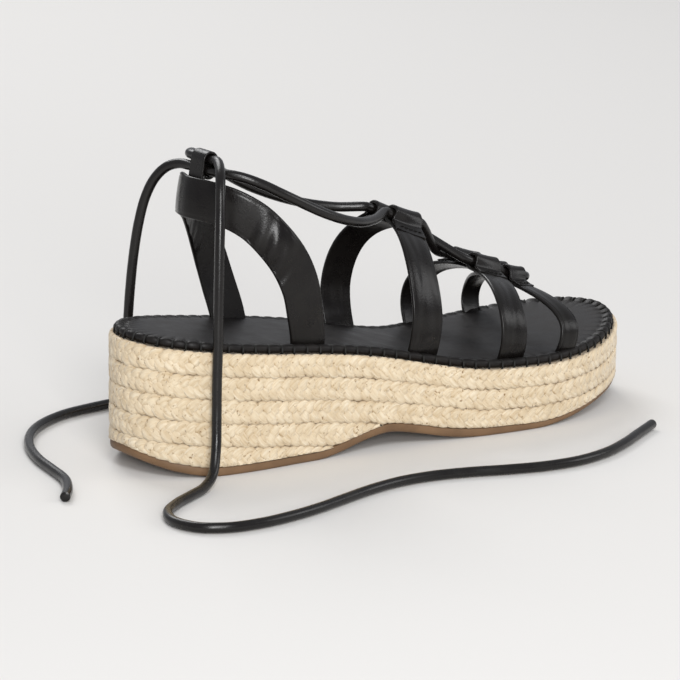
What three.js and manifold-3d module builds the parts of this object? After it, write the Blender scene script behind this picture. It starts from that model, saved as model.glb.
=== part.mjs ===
// Lace-up espadrille sandal for the right foot: a flatform sole wrapped in jute braid, a thin
// outsole, a stitched footbed, a heel strap with a cord loop, three pairs of instep straps that
// end in folded tunnels, and one round lace whose two tie ends lie on the floor.
//
// Millimetres. Inside the shoe group, X runs from the back of the heel (0) to the toe,
// +Y is the medial (big toe) side and +Z is up from the floor. The group moves the heel
// back by half a length, so the part's own origin is under the middle of the sole.
import * as THREE from 'three';
import { mergeVertices } from 'three/addons/utils/BufferGeometryUtils.js';
import Module from 'manifold-3d';

const wasm = await Module();
wasm.setup();

// Driving dimensions. BELLY is the share of the last's height at which it is widest, and
// TUCK_SHARE the part of a strap's line that lies below that place.
const LENGTH = 265;
const GAP = 0.3;
const SLOT_EASE = 0.1;
const OUTSOLE_INSET = 0.6;
const FOOTBED_THICK = 3.2;
const FOOTBED_INSET = 2.8;
const STRAP_THICK = 1.6;
const HEEL_STRAP_THICK = 1.8;
const HEEL_STRAP_WIDTH = 17.5;
const LACE_DIAMETER = 4.3;
const BORE_RADIUS = 2.6;
const FOLD_LENGTH = 10;
const TUCK = 5.5;
const RIDGE = 4;
const TUNNEL_APART = 11.2;
const LACE_SAG = 2.5;
const CROSSING_LIFT = 1.7;
const BELLY = 0.28;
const TUCK_SHARE = 0.2;
const SINK = 6;
const FORWARD_LEAN = { low: 0.25, high: 0.85 };
const SLOT_SHARE = { instep: 0.45, heel: 0.12 };

// Plan outline of the sole: place along the length, and the half widths on both sides
const OUTLINE = [
  { at: 0.0, lateral: 0, medial: 0 },
  { at: 0.012, lateral: 13, medial: 13 },
  { at: 0.05, lateral: 25, medial: 25 },
  { at: 0.1, lateral: 31.2, medial: 31 },
  { at: 0.17, lateral: 34, medial: 34 },
  { at: 0.27, lateral: 34.5, medial: 34 },
  { at: 0.38, lateral: 35, medial: 32.5 },
  { at: 0.48, lateral: 37.3, medial: 31.8 },
  { at: 0.58, lateral: 41.5, medial: 35.2 },
  { at: 0.67, lateral: 44.7, medial: 41 },
  { at: 0.74, lateral: 45.6, medial: 44.4 },
  { at: 0.81, lateral: 43.4, medial: 45.6 },
  { at: 0.87, lateral: 38, medial: 43 },
  { at: 0.92, lateral: 30.1, medial: 37 },
  { at: 0.96, lateral: 20.2, medial: 28.6 },
  { at: 0.985, lateral: 10.4, medial: 19.3 },
];
const TOE_TIP = { at: 1.0, y: 4.5 };

// Heights along the length: top of the jute block under the footbed, and the walking surface.
// The outsole thins towards the toe.
const TOP = [
  { at: 0.0, z: 57.4 },
  { at: 0.1, z: 54 },
  { at: 0.2, z: 50.2 },
  { at: 0.31, z: 46.3 },
  { at: 0.42, z: 41.3 },
  { at: 0.51, z: 35.6 },
  { at: 0.6, z: 30.6 },
  { at: 0.68, z: 28.9 },
  { at: 0.76, z: 28.5 },
  { at: 0.85, z: 29.7 },
  { at: 0.93, z: 32.4 },
  { at: 1.0, z: 35.6 },
];
const BOTTOM = [
  { at: 0.0, z: 8.3, thick: 4 },
  { at: 0.025, z: 5.2, thick: 4 },
  { at: 0.05, z: 2.9, thick: 4 },
  { at: 0.09, z: 0.7, thick: 4 },
  { at: 0.13, z: 0, thick: 4 },
  { at: 0.3, z: 0, thick: 4 },
  { at: 0.345, z: 1.9, thick: 4 },
  { at: 0.385, z: 4.9, thick: 4 },
  { at: 0.418, z: 6.8, thick: 4 },
  { at: 0.445, z: 7.2, thick: 4 },
  { at: 0.5, z: 4.5, thick: 4 },
  { at: 0.54, z: 2.1, thick: 4 },
  { at: 0.58, z: 0.6, thick: 4 },
  { at: 0.62, z: 0, thick: 3.8 },
  { at: 0.72, z: 0, thick: 3.1 },
  { at: 0.76, z: 0.9, thick: 2.8 },
  { at: 0.8, z: 2.5, thick: 2.5 },
  { at: 0.85, z: 5, thick: 2.3 },
  { at: 0.9, z: 7.2, thick: 2.2 },
  { at: 0.95, z: 9, thick: 2.1 },
  { at: 1.0, z: 11, thick: 2 },
];

// The last above the footbed, a row for each section: half widths, height of the ridge,
// and the exponent of its arch, 2 being an ellipse and less a sharper instep
const LAST = [
  { x: 120, lateral: 34, medial: 29.5, height: 66, round: 1.6 },
  { x: 145, lateral: 36, medial: 32, height: 53, round: 1.7 },
  { x: 168, lateral: 39, medial: 36.5, height: 40.5, round: 1.9 },
  { x: 190, lateral: 41, medial: 40.5, height: 31, round: 2.1 },
  { x: 210, lateral: 40.5, medial: 42.5, height: 23, round: 2.2 },
  { x: 240, lateral: 33, medial: 41, height: 18, round: 2.2 },
];

// Instep straps, a row for each half: where its middle leaves the footbed and ends on top,
// and how far it bows towards the toe on its way
const STRAPS = [
  { name: 'strap_rear_lateral', side: -1, base: 135, top: 144, bow: 0, width: 16 },
  { name: 'strap_rear_medial', side: 1, base: 133, top: 144, bow: 0, width: 16 },
  { name: 'strap_middle_lateral', side: -1, base: 179, top: 189, bow: 0, width: 14 },
  { name: 'strap_middle_medial', side: 1, base: 183, top: 189, bow: 0, width: 14 },
  { name: 'strap_toe_lateral', side: -1, base: 208, top: 206.5, bow: 3, width: 10 },
  { name: 'strap_toe_medial', side: 1, base: 217, top: 206.5, bow: 2, width: 10 },
];

// Heel strap, a row for each fold of one half, from the footbed to the back of the ankle.
// facing turns its outer face from sideways (0) to backwards (90).
const HEEL_STRAP = [
  { lateralX: 78, medialX: 74.5, y: 26, z: 42, facing: 0 },
  { lateralX: 76.5, medialX: 73, y: 28.2, z: 54, facing: 1 },
  { lateralX: 73, medialX: 70.5, y: 31, z: 66, facing: 4 },
  { lateralX: 69.5, medialX: 67.5, y: 32.6, z: 77.5, facing: 8 },
  { lateralX: 64.5, medialX: 63, y: 31.8, z: 88.5, facing: 16 },
  { lateralX: 58, medialX: 57.5, y: 29.3, z: 98, facing: 27 },
  { lateralX: 51, medialX: 51, y: 25, z: 106, facing: 37 },
  { lateralX: 43.2, medialX: 43.2, y: 18.8, z: 111.4, facing: 49 },
  { lateralX: 37.2, medialX: 37.2, y: 10.8, z: 113.7, facing: 65 },
];
const HEEL_STRAP_BACK = { x: 33.8, z: 114.3, lean: 9 };

// Heel loop: a strip folded over the lace, standing on the heel strap's top edge
const LOOP = { x: 42, z: 127.5, width: 10, bore: 2.55, wall: 1.2, strands: 4.6, tail: 18 };

// Free way of the lace between the rear straps and the heel loop, lateral side and medial side
const LACE_LATERAL = [
  { x: 43, y: -12, z: 125.3 },
  { x: 48.5, y: -18, z: 124.3 },
  { x: 56, y: -22.8, z: 121.2 },
  { x: 67, y: -26.8, z: 115.3 },
  { x: 87, y: -27.5, z: 105.5 },
  { x: 107, y: -21.5, z: 98.8 },
  { x: 123, y: -12, z: 96.4 },
];
const LACE_MEDIAL = [
  { x: 43, y: 12, z: 129.8 },
  { x: 48.5, y: 18, z: 128.4 },
  { x: 56, y: 22.8, z: 124.5 },
  { x: 67, y: 26.8, z: 117.6 },
  { x: 87, y: 28, z: 106.8 },
  { x: 107, y: 24.5, z: 99.4 },
  { x: 123, y: 17.5, z: 96.4 },
];

// Tie ends, each from its mouth of the heel loop down to the floor and along it
const TIE_STEPS = 40;
const TIE_LATERAL = [
  [42.3, -6.3, 130.15],
  [41.6, -10.5, 130.5],
  [39.2, -16, 129.2],
  [36, -21.5, 126.2],
  [33, -26, 120],
  [30.8, -29.3, 110.5],
  [29.2, -31.4, 98],
  [28, -32.9, 84],
  [27.1, -34, 70],
  [26.4, -34.8, 56],
  [25.6, -35.5, 42],
  [24.8, -36.6, 28],
  [23, -39, 15],
  [18.6, -43.4, 6],
  [11, -48.5, 2.8],
  [1, -54, 2.4],
  [-10.5, -60.5, 2.4],
  [-20.5, -69, 2.4],
  [-25, -80.5, 2.4],
  [-21.5, -92.5, 2.4],
  [-11, -99.5, 2.4],
  [2.5, -101.5, 2.4],
  [17, -100.5, 2.4],
  [33, -97.5, 2.4],
  [50, -92.5, 2.4],
  [67, -87.5, 2.4],
  [84, -84.5, 2.4],
  [101, -85, 2.4],
  [118, -89, 2.4],
  [135, -95, 2.4],
  [152, -99.5, 2.4],
  [169, -100.5, 2.4],
  [186, -97, 2.4],
  [202, -90, 2.4],
  [217, -81.5, 2.4],
  [232, -73, 2.4],
];
const TIE_MEDIAL = [
  [41.64, 5.85, 125.23],
  [41.3, 10.5, 125.2],
  [39.9, 15.5, 125.2],
  [37, 20.6, 123.2],
  [33.9, 25, 118],
  [31.4, 28.6, 109.5],
  [29.5, 31, 98],
  [28.1, 32.8, 84],
  [27.2, 34, 70],
  [26.6, 34.8, 56],
  [26.4, 35.4, 42],
  [26.8, 36.6, 28],
  [28.6, 39.2, 15],
  [34, 43.4, 6],
  [43, 47.2, 2.8],
  [54.5, 50.5, 2.4],
  [69, 53, 2.4],
  [84, 54.5, 2.4],
  [99, 56.5, 2.4],
  [113, 60.5, 2.4],
  [122.5, 68.5, 2.4],
  [123, 79.5, 2.4],
  [115, 87.5, 2.4],
  [102, 91, 2.4],
  [86, 91, 2.4],
  [70, 88.5, 2.4],
  [54, 85.5, 2.4],
  [38, 83.5, 2.4],
  [22.5, 80.5, 2.4],
  [8.5, 74, 2.4],
  [-3, 65, 2.4],
  [-12.5, 53, 2.4],
  [-19.5, 39.5, 2.4],
  [-24.5, 24.5, 2.4],
  [-27.5, 9, 2.4],
  [-31, -7, 2.4],
  [-38.5, -21, 2.4],
  [-44, -28, 2.4],
];

const UP = new THREE.Vector3(0, 0, 1);
const SIDEWAYS = new THREE.Vector3(0, 1, 0);
const LEAN = THREE.MathUtils.degToRad(HEEL_STRAP_BACK.lean);

// Value of a column at a place, on a smooth curve through a table's rows
function along(table, key, column, place) {
  const last = table.length - 1;
  const at = THREE.MathUtils.clamp(place, table[0][key], table[last][key]);
  let i = 0;
  while (i < last - 1 && table[i + 1][key] < at) i += 1;
  const slope = (k) => {
    const a = table[Math.max(k - 1, 0)];
    const b = table[Math.min(k + 1, last)];
    return (b[column] - a[column]) / (b[key] - a[key]);
  };
  const p = table[i];
  const q = table[i + 1];
  const span = q[key] - p[key];
  const t = (at - p[key]) / span;
  const flat = p[column] === q[column];
  const m0 = flat ? 0 : slope(i) * span;
  const m1 = flat ? 0 : slope(i + 1) * span;
  const t2 = t * t;
  const t3 = t2 * t;
  return (2 * t3 - 3 * t2 + 1) * p[column] + (t3 - 2 * t2 + t) * m0
    + (3 * t2 - 2 * t3) * q[column] + (t3 - t2) * m1;
}

const blockTop = (x) => along(TOP, 'at', 'z', x / LENGTH);
const walkSurface = (x) => Math.max(0, along(BOTTOM, 'at', 'z', x / LENGTH));
const footbedTop = (x) => blockTop(x) + GAP + FOOTBED_THICK;

// Closed solids for joining and cutting
function solidOf(geometry) {
  const bare = geometry.index ? geometry.toNonIndexed() : geometry.clone();
  for (const name of ['normal', 'uv']) bare.deleteAttribute(name);
  const merged = mergeVertices(bare, 1e-4);
  return new wasm.Manifold(new wasm.Mesh({
    numProp: 3,
    vertProperties: new Float32Array(merged.attributes.position.array),
    triVerts: new Uint32Array(merged.index.array),
  }));
}

function geometryOf(solid) {
  const mesh = solid.getMesh();
  const geometry = new THREE.BufferGeometry();
  geometry.setAttribute('position', new THREE.BufferAttribute(mesh.vertProperties, 3));
  geometry.setIndex(new THREE.BufferAttribute(mesh.triVerts, 1));
  geometry.computeVertexNormals();
  return geometry;
}

// Plan outline as points, drawn in by an inset
function outlinePoints(inset, count) {
  const corners = OUTLINE.map((row) => new THREE.Vector3(row.at * LENGTH, -row.lateral, 0));
  corners.push(new THREE.Vector3(TOE_TIP.at * LENGTH, TOE_TIP.y, 0));
  for (const row of OUTLINE.slice(1).reverse()) {
    corners.push(new THREE.Vector3(row.at * LENGTH, row.medial, 0));
  }
  const curve = new THREE.CatmullRomCurve3(corners, true, 'centripetal');
  const points = [];
  for (let i = 0; i < count; i += 1) {
    const inward = UP.clone().cross(curve.getTangentAt(i / count));
    points.push(curve.getPointAt(i / count).addScaledVector(inward, inset));
  }
  return points;
}

// Upright solid over the plan outline
function plan(inset) {
  const shape = new THREE.Shape(outlinePoints(inset, 80).map((p) => new THREE.Vector2(p.x, p.y)));
  return solidOf(new THREE.ExtrudeGeometry(shape, { depth: 80, bevelEnabled: false }));
}

// Solid across the whole width, between two height curves
function slab(low, high) {
  const stations = 40;
  const start = -20;
  const reach = LENGTH + 40;
  const xs = Array.from({ length: stations + 1 }, (_, i) => start + (reach * i) / stations);
  const profile = xs.map((x) => new THREE.Vector2(x, low(x)));
  profile.push(...xs.reverse().map((x) => new THREE.Vector2(x, high(x))));
  const geometry = new THREE.ExtrudeGeometry(new THREE.Shape(profile), {
    depth: 140,
    bevelEnabled: false,
  });
  geometry.rotateX(Math.PI / 2);
  geometry.translate(0, 70, 0);
  return solidOf(geometry);
}

// A flat strip laid along a path: frames give the middle point and the outward face at u
function strip(frameAt, width, low, high, steps) {
  const geometry = new THREE.BoxGeometry(1, 1, 1, steps, 1, 1);
  const position = geometry.attributes.position;
  for (let i = 0; i < position.count; i += 1) {
    const frame = frameAt(position.getX(i) + 0.5);
    const lift = position.getZ(i) < 0 ? low : high;
    const point = frame.point.clone();
    point.addScaledVector(frame.across, position.getY(i) * width);
    point.addScaledVector(frame.out, lift);
    position.setXYZ(i, point.x, point.y, point.z);
  }
  return solidOf(geometry);
}

function frameOf(point, tangent, facing) {
  const out = facing.clone().addScaledVector(tangent, -facing.dot(tangent)).normalize();
  const across = out.clone().cross(tangent);
  return { point, tangent, out, across };
}

// Point of the last's surface: u runs from under the footbed (0) over the bulge to the ridge (1)
function lastPoint(x, side, u) {
  const bulge = along(LAST, 'x', side < 0 ? 'lateral' : 'medial', x);
  const height = along(LAST, 'x', 'height', x);
  const round = along(LAST, 'x', 'round', x);
  const base = footbedTop(x);
  const belly = BELLY * height;
  if (u < TUCK_SHARE) {
    const rise = u / TUCK_SHARE;
    const y = bulge - TUCK * (1 - Math.sin((rise * Math.PI) / 2));
    return new THREE.Vector3(x, side * y, base - SINK + (belly + SINK) * rise);
  }
  const turn = (((u - TUCK_SHARE) / (1 - TUCK_SHARE)) * Math.PI) / 2;
  const half = bulge + (side < 0 ? RIDGE : -RIDGE);
  const y = half * Math.cos(turn) ** (2 / round);
  const z = base + belly + (height - belly) * Math.sin(turn) ** (2 / round);
  return new THREE.Vector3(x, RIDGE + side * y, z);
}

// The middle line of an instep strap on the last, ending beside the ridge
function strapLine(strap) {
  const points = [];
  const samples = 90;
  for (let i = 0; i <= samples; i += 1) {
    const u = i / samples;
    const climb = THREE.MathUtils.smoothstep(u * u, 0, 0.8);
    const x = THREE.MathUtils.lerp(strap.base, strap.top, climb)
      + strap.bow * Math.sin(Math.PI * Math.min(u / 0.9, 1));
    const point = lastPoint(x, strap.side, u);
    const fromRidge = strap.side * (point.y - RIDGE);
    if (fromRidge < TUNNEL_APART / 2) break;
    points.push(point);
  }
  return new THREE.CatmullRomCurve3(points, false, 'centripetal');
}

function strapFrames(strap) {
  const line = strapLine(strap);
  return (u) => {
    const point = line.getPointAt(u);
    const tangent = line.getTangentAt(u);
    const ridgeFall = new THREE.Vector3(1, 0, along(LAST, 'x', 'height', point.x + 5) / 10
      - along(LAST, 'x', 'height', point.x - 5) / 10).normalize();
    const lean = THREE.MathUtils.lerp(FORWARD_LEAN.low, FORWARD_LEAN.high, u);
    const forward = new THREE.Vector3(1, 0, ridgeFall.z * lean).normalize();
    const out = tangent.clone().cross(forward).multiplyScalar(strap.side);
    return frameOf(point, tangent, out.normalize());
  };
}

// Where a strap's tunnel sits: its middle and the direction of its bore towards the toe
function tunnelOf(strap) {
  const end = strapFrames(strap)(1);
  const radius = BORE_RADIUS + STRAP_THICK;
  const middle = end.point.clone().addScaledVector(end.out, radius - STRAP_THICK / 2);
  const axis = end.across.clone().multiplyScalar(Math.sign(end.across.x));
  return { middle, axis, tangent: end.tangent, radius, half: strap.width / 2 };
}

function roundBar(radius, length, middle, axis, sides) {
  const bar = new THREE.CylinderGeometry(radius, radius, length, sides);
  bar.applyQuaternion(new THREE.Quaternion().setFromUnitVectors(SIDEWAYS, axis));
  bar.translate(middle.x, middle.y, middle.z);
  return solidOf(bar);
}

const belowFootbed = slab(() => -10, (x) => blockTop(x) + GAP);

function instepStrap(strap) {
  const frames = strapFrames(strap);
  const tunnel = tunnelOf(strap);
  const half = STRAP_THICK / 2;
  const body = strip(frames, strap.width, -half, half, 20);
  const foldShare = FOLD_LENGTH / strapLine(strap).getLength();
  const foldFrames = (u) => frames(1 - foldShare * (1 - u));
  const fold = strip(foldFrames, strap.width - 0.6, 0, half + STRAP_THICK, 4);
  const sleeve = roundBar(tunnel.radius, strap.width, tunnel.middle, tunnel.axis, 20);
  const bore = roundBar(BORE_RADIUS, strap.width + 8, tunnel.middle, tunnel.axis, 20);
  return body.add(fold).add(sleeve).subtract(bore).subtract(belowFootbed);
}

// Grown lower end of a strap, which cuts its slot in the footbed
function strapSlot(strap) {
  const frames = strapFrames(strap);
  const half = STRAP_THICK / 2 + GAP + SLOT_EASE;
  return strip((u) => frames(SLOT_SHARE.instep * u), strap.width + 2 * GAP, -half, half, 9);
}

function heelStrapFrames() {
  const rowPoint = (row, side) => {
    const x = side < 0 ? row.lateralX : row.medialX;
    return new THREE.Vector3(x, side * row.y, row.z);
  };
  const lateral = HEEL_STRAP.map((row) => rowPoint(row, -1));
  const back = new THREE.Vector3(HEEL_STRAP_BACK.x, 0, HEEL_STRAP_BACK.z);
  const medial = HEEL_STRAP.map((row) => rowPoint(row, 1)).reverse();
  const line = new THREE.CatmullRomCurve3([...lateral, back, ...medial], false, 'centripetal');
  const facings = [...HEEL_STRAP.map((row) => row.facing), 90];
  facings.push(...HEEL_STRAP.map((row) => 180 - row.facing).reverse());
  return (u) => {
    const t = line.getUtoTmapping(u);
    const place = t * (facings.length - 1);
    const i = Math.min(Math.floor(place), facings.length - 2);
    const turn = THREE.MathUtils.degToRad(
      THREE.MathUtils.lerp(facings[i], facings[i + 1], place - i),
    );
    const rise = Math.sin(turn) * Math.sin(LEAN);
    const facing = new THREE.Vector3(-Math.sin(turn), -Math.cos(turn), rise);
    return frameOf(line.getPoint(t), line.getTangent(t), facing);
  };
}

function heelStrap() {
  const half = HEEL_STRAP_THICK / 2;
  const band = strip(heelStrapFrames(), HEEL_STRAP_WIDTH, -half, half, 44);
  return band.subtract(belowFootbed);
}

// Upright oval ring with its hole along Y, and a tail down the inside of the heel strap
function heelLoop() {
  const oval = (shape, radius, straight) => {
    shape.absarc(0, straight, radius, 0, Math.PI, false);
    shape.absarc(0, -straight, radius, Math.PI, 2 * Math.PI, false);
    shape.closePath();
    return shape;
  };
  const straight = LOOP.strands / 2;
  const outer = oval(new THREE.Shape(), LOOP.bore + LOOP.wall, straight);
  outer.holes.push(oval(new THREE.Path(), LOOP.bore, straight));
  const ring = new THREE.ExtrudeGeometry(outer, {
    depth: LOOP.width,
    bevelEnabled: false,
    curveSegments: 6,
  });
  ring.rotateX(Math.PI / 2);
  ring.translate(0, LOOP.width / 2, 0);
  const tail = new THREE.BoxGeometry(LOOP.wall, LOOP.width, LOOP.tail);
  tail.translate(-LOOP.bore - LOOP.wall / 2, 0, -LOOP.tail / 2);
  for (const piece of [ring, tail]) piece.rotateY(LEAN).translate(LOOP.x, 0, LOOP.z);
  return solidOf(ring).add(solidOf(tail));
}

function tube(points, diameter, steps) {
  const curve = new THREE.CatmullRomCurve3(points, false, 'centripetal');
  const round = new THREE.Shape();
  round.absarc(0, 0, diameter / 2, 0, 2 * Math.PI, false);
  return new THREE.ExtrudeGeometry(round, { steps, curveSegments: 4, extrudePath: curve });
}

// One half of the lace: heel loop, side of the ankle, rear tunnel, over the crossing to the
// other side's middle and toe tunnels, and half of the front bar
function laceHalf(side) {
  const find = (part) => STRAPS.find((strap) => strap.name === part);
  const near = side < 0 ? 'lateral' : 'medial';
  const far = side < 0 ? 'medial' : 'lateral';
  const rear = tunnelOf(find(`strap_rear_${near}`));
  const middle = tunnelOf(find(`strap_middle_${far}`));
  const toe = tunnelOf(find(`strap_toe_${far}`));
  const lift = new THREE.Vector3(0, 0, (side * LOOP.strands) / 2).applyAxisAngle(SIDEWAYS, LEAN);
  const exit = LOOP.width / 2 + 0.3;
  const way = side < 0 ? LACE_LATERAL : LACE_MEDIAL;
  const place = (tunnel, reach) => tunnel.middle.clone().addScaledVector(tunnel.axis, reach);
  const cross = place(rear, rear.half + 4).lerp(place(middle, -middle.half - 4), 0.5);
  cross.y = RIDGE;
  cross.z += side * CROSSING_LIFT - LACE_SAG;
  const bend = place(toe, toe.half + 4.6);
  bend.y = RIDGE - side * 3.6;
  const front = place(toe, toe.half + 5.9);
  front.y = RIDGE + side;
  return [
    ...[-exit, 0, exit].map((y) => new THREE.Vector3(LOOP.x, side * y, LOOP.z).add(lift)),
    ...way.map((p) => new THREE.Vector3(p.x, p.y, p.z)),
    ...[-rear.half - 3, -rear.half, rear.half, rear.half + 3].map((reach) => place(rear, reach)),
    cross,
    ...[-middle.half - 3, -middle.half, middle.half].map((reach) => place(middle, reach)),
    ...[-toe.half, toe.half, toe.half + 1.5].map((reach) => place(toe, reach)),
    bend,
    front,
  ];
}

function lace() {
  const steps = 52;
  const lateral = solidOf(tube(laceHalf(-1), LACE_DIAMETER, steps));
  const medial = solidOf(tube(laceHalf(1), LACE_DIAMETER, steps));
  return lateral.add(medial);
}

const jute = new THREE.MeshStandardMaterial({ color: 0xdcc8ab, roughness: 0.9, metalness: 0 });
const rubber = new THREE.MeshStandardMaterial({ color: 0x87694a, roughness: 0.7, metalness: 0 });
const lining = new THREE.MeshStandardMaterial({ color: 0x2e2a2a, roughness: 0.6, metalness: 0 });
const leather = new THREE.MeshStandardMaterial({ color: 0x302d2e, roughness: 0.45, metalness: 0 });
const cord = new THREE.MeshStandardMaterial({ color: 0x2b2829, roughness: 0.4, metalness: 0 });

const shoe = new THREE.Group();
shoe.position.set(-LENGTH / 2, 0, 0);

function addNode(name, solid, material) {
  const mesh = new THREE.Mesh(geometryOf(solid), material);
  mesh.name = name;
  shoe.add(mesh);
}

const soleTop = (x) => walkSurface(x) + along(BOTTOM, 'at', 'thick', x / LENGTH);
addNode('outsole', plan(OUTSOLE_INSET).intersect(slab(walkSurface, soleTop)), rubber);
addNode('jute_platform', plan(0).intersect(slab((x) => soleTop(x) + GAP, blockTop)), jute);

let footbed = plan(FOOTBED_INSET).intersect(slab((x) => blockTop(x) + GAP, footbedTop));
for (const strap of STRAPS) {
  footbed = footbed.subtract(strapSlot(strap));
}
const heelFrames = heelStrapFrames();
for (const start of [0, 1 - SLOT_SHARE.heel]) {
  const half = HEEL_STRAP_THICK / 2 + GAP;
  const end = (u) => heelFrames(start + SLOT_SHARE.heel * u);
  footbed = footbed.subtract(strip(end, HEEL_STRAP_WIDTH + 2 * GAP, -half, half, 6));
}
addNode('footbed', footbed, lining);

addNode('heel_strap', heelStrap(), leather);
addNode('heel_loop', heelLoop(), leather);
for (const strap of STRAPS) addNode(strap.name, instepStrap(strap), leather);
addNode('lace', lace(), cord);

for (const [name, rows] of [['tie_end_lateral', TIE_LATERAL], ['tie_end_medial', TIE_MEDIAL]]) {
  const points = rows.map((row) => new THREE.Vector3(...row));
  addNode(name, solidOf(tube(points, LACE_DIAMETER, TIE_STEPS)), cord);
}

export default shoe;
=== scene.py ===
# %% [markdown]
# # A lace-up sandal on a jute flatform
# The sandal stands empty on its sole: a tan rubber outsole, a platform wrapped in jute plait, a
# stitched footbed, a heel strap, six instep straps folded into tunnels, and one round lace.
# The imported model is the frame. It holds every place and size, so the first step loads it and
# keeps its box. Nothing below moves a frame part: each one is hidden by the finished piece
# that stands for it.

# %% Load the frame
import math

import bmesh
import bpy
import numpy as np
from mathutils import Matrix, Vector


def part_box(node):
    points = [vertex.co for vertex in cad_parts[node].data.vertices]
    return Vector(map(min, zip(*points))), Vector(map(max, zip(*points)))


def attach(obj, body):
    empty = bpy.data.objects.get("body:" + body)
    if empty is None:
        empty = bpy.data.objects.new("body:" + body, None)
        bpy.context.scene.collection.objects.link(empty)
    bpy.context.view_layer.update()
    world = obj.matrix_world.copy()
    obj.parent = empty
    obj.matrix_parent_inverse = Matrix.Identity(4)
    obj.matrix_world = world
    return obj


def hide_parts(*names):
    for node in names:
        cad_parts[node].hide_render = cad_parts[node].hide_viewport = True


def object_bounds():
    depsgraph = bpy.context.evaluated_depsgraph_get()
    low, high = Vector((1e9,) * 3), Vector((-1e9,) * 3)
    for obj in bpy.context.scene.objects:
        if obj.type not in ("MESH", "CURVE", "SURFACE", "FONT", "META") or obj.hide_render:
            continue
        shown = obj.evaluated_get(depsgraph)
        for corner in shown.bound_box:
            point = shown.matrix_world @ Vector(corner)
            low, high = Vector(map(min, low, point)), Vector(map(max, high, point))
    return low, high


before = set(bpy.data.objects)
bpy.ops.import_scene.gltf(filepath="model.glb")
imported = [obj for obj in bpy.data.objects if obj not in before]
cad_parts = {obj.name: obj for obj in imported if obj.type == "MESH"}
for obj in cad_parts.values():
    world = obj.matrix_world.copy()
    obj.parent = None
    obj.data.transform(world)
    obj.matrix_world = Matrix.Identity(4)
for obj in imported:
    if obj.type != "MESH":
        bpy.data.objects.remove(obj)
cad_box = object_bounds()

print("frame box", [tuple(round(v, 4) for v in corner) for corner in cad_box])

# %% [markdown]
# ## Working in a shoemaker's units
# A shoemaker measures in millimetres from the back of the heel. The tables below do the same:
# X runs to the toe, +Y is the big toe's side and Z goes up from the floor. `to_frame` turns
# such points into metres in the frame, whose origin is under the middle of the sole. One
# place to convert is safer than a scale factor in every line.

# %% Sizes from the frame
MM = 0.001
block_low, block_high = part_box("jute_platform")
LENGTH = round((block_high.x - block_low.x) / MM)
HEEL_BACK = block_low.x


def to_frame(points):
    """Points in millimetres from the heel, as metres in the frame."""
    return np.asarray(points, float) * MM + np.array([HEEL_BACK, 0, 0])


print("sole length", LENGTH, "mm")

# %% [markdown]
# ## Two kinds of smooth curve
# Heights along the sole are a value for each place: a cubic through the table's rows gives
# them, and it never loops back. Outlines, straps and laces turn in any direction, so they are
# curves through points. A centripetal Catmull-Rom curve passes through each point without
# the overshoot that a plain one makes where points stand close together.

# %% Value curve


def blend(t, start, end, leaving, arriving):
    """Smooth way from start (t = 0) to end (t = 1), with the slopes at both."""
    return ((2 * t**3 - 3 * t**2 + 1) * start + (t**3 - 2 * t**2 + t) * leaving
            + (3 * t**2 - 2 * t**3) * end + (t**3 - t**2) * arriving)


def along(table, place):
    """Value of a two-column table at a place or at many places. Equal neighbours stay flat."""
    at, value = np.array(table, float).T
    place = np.clip(place, at[0], at[-1])
    row = np.clip(np.searchsorted(at, place) - 1, 0, len(at) - 2)
    before = np.maximum(np.arange(len(at)) - 1, 0)
    after = np.minimum(np.arange(len(at)) + 1, len(at) - 1)
    slope = (value[after] - value[before]) / (at[after] - at[before])
    span = at[row + 1] - at[row]
    moving = value[row] != value[row + 1]
    return blend((place - at[row]) / span, value[row], value[row + 1],
                 slope[row] * span * moving, slope[row + 1] * span * moving)


# %% Point curve


def curve_through(points, fine=24, closed=False):
    """Dense points on a centripetal curve, and the row number that each belongs to."""
    p = np.asarray(points, float)
    if closed:
        p = np.vstack([p[-1], p, p[0], p[1]])
    else:
        p = np.vstack([2 * p[0] - p[1], p, 2 * p[-1] - p[-2]])
    made, rows = [], []
    for i in range(1, len(p) - 2):
        a, b, c, d = p[i - 1:i + 3]
        step = [max(np.linalg.norm(q - r) ** 0.5, 1e-4) for q, r in ((b, a), (c, b), (d, c))]
        m1 = (b - a) / step[0] - (c - a) / (step[0] + step[1]) + (c - b) / step[1]
        m2 = (c - b) / step[1] - (d - b) / (step[1] + step[2]) + (d - c) / step[2]
        t = np.linspace(0, 1, fine, endpoint=False)[:, None]
        made.append(blend(t, b, c, m1 * step[1], m2 * step[1]))
        rows.append(i - 1 + t[:, 0])
    made.append(p[-2][None])
    rows.append(np.array([len(p) - 3.0]))
    return np.vstack(made), np.concatenate(rows)


def run_of(points):
    """Distance travelled along a line of points."""
    return np.r_[0, np.cumsum(np.linalg.norm(np.diff(points, axis=0), axis=1))]


def picked_at(want, run, points):
    """Points of a line at the wanted distances along it."""
    return np.stack([np.interp(want, run, points[:, k]) for k in range(3)], 1)


def evenly(points, count, *columns):
    """The line again with evenly spaced points, and any columns taken along."""
    run = run_of(points)
    want = np.linspace(0, run[-1], count)
    return (picked_at(want, run, points), *[np.interp(want, run, column) for column in columns])


def unit(vectors):
    """The vectors at length 1."""
    return vectors / np.maximum(np.linalg.norm(vectors, axis=-1, keepdims=True), 1e-9)


def way_on(line, closed=False):
    """Direction of travel at each point of a line."""
    if closed:
        return unit(np.roll(line, -1, 0) - np.roll(line, 1, 0))
    return unit(np.gradient(line, axis=0))


def square_to(way, vectors):
    """The vectors turned square to the way on, at length 1."""
    return unit(vectors - way * (vectors * way).sum(1)[:, None])


def bump_at(x, middle, width):
    """A soft bell of height 1."""
    return np.exp(-(((x - middle) / width) ** 2))


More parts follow.
